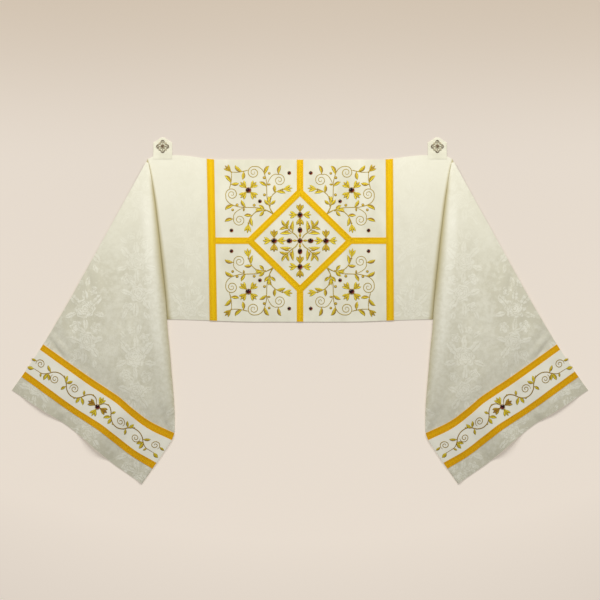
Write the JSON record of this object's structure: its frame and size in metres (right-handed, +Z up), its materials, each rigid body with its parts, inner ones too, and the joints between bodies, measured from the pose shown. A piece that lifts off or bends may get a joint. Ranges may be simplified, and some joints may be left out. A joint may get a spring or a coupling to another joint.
{
  "type": "humeral veil",
  "caption": "Ivory damask ceremonial shoulder cloth lying flat, ends pleated down, with gold braid, embroidered flowers, red stones, pointed tabs and metal clasp halves.",
  "frame": {"origin": "middle of the underside's bounding box, on the surface that the veil lies on", "axes": "+X along the veil's length, +Y towards the neck edge and tabs, +Z up out of the front"},
  "size_m": [1.9548, 1.175, 0.0166],
  "materials": {
    "damask_ivory": "soft sheen, tone-on-tone woven flowers",
    "orphrey_ivory": "satin",
    "tab_satin": "satin",
    "braid_gold": "woven metallic braid",
    "gold_embroidery": "metallic thread in satin stitch",
    "stone_red": "polished, foil-backed",
    "clasp_metal": "darkened openwork"
  },
  "bodies": {
    "root": {"border_end_left": "orphrey_ivory", "border_end_right": "orphrey_ivory", "braid_bar_bottom": "braid_gold", "braid_bar_left": "braid_gold", "braid_bar_right": "braid_gold", "braid_bar_top": "braid_gold", "braid_diamond": "braid_gold", "braid_end_lower_left": "braid_gold", "braid_end_lower_right": "braid_gold", "braid_end_upper_left": "braid_gold", "braid_end_upper_right": "braid_gold", "braid_side_left": "braid_gold", "braid_side_right": "braid_gold", "clasp_left": "clasp_metal", "clasp_right": "clasp_metal", "flower_border_left": "gold_embroidery", "flower_border_right": "gold_embroidery", "flower_corner_lower_left": "gold_embroidery", "flower_corner_lower_right": "gold_embroidery", "flower_corner_upper_left": "gold_embroidery", "flower_corner_upper_right": "gold_embroidery", "flower_cross_bottom": "gold_embroidery", "flower_cross_left": "gold_embroidery", "flower_cross_right": "gold_embroidery", "flower_cross_top": "gold_embroidery", "orphrey_panel": "orphrey_ivory", "pleat_left": "damask_ivory", "pleat_right": "damask_ivory", "stone_border_left": "stone_red", "stone_border_right": "stone_red", "stone_corner_lower_left": "stone_red", "stone_corner_lower_right": "stone_red", "stone_corner_upper_left": "stone_red", "stone_corner_upper_right": "stone_red", "stone_cross_bottom": "stone_red", "stone_cross_left": "stone_red", "stone_cross_right": "stone_red", "stone_cross_top": "stone_red", "stone_inner_bottom": "stone_red", "stone_inner_left": "stone_red", "stone_inner_right": "stone_red", "stone_inner_top": "stone_red", "stone_middle": "stone_red", "stone_small_lower_left_1": "stone_red", "stone_small_lower_left_2": "stone_red", "stone_small_lower_left_3": "stone_red", "stone_small_lower_right_1": "stone_red", "stone_small_lower_right_2": "stone_red", "stone_small_lower_right_3": "stone_red", "stone_small_upper_left_1": "stone_red", "stone_small_upper_left_2": "stone_red", "stone_small_upper_left_3": "stone_red", "stone_small_upper_right_1": "stone_red", "stone_small_upper_right_2": "stone_red", "stone_small_upper_right_3": "stone_red", "tab_left": "tab_satin", "tab_right": "tab_satin", "veil_end_left": "damask_ivory", "veil_end_right": "damask_ivory", "veil_middle": "damask_ivory"}
  },
  "joints": []
}
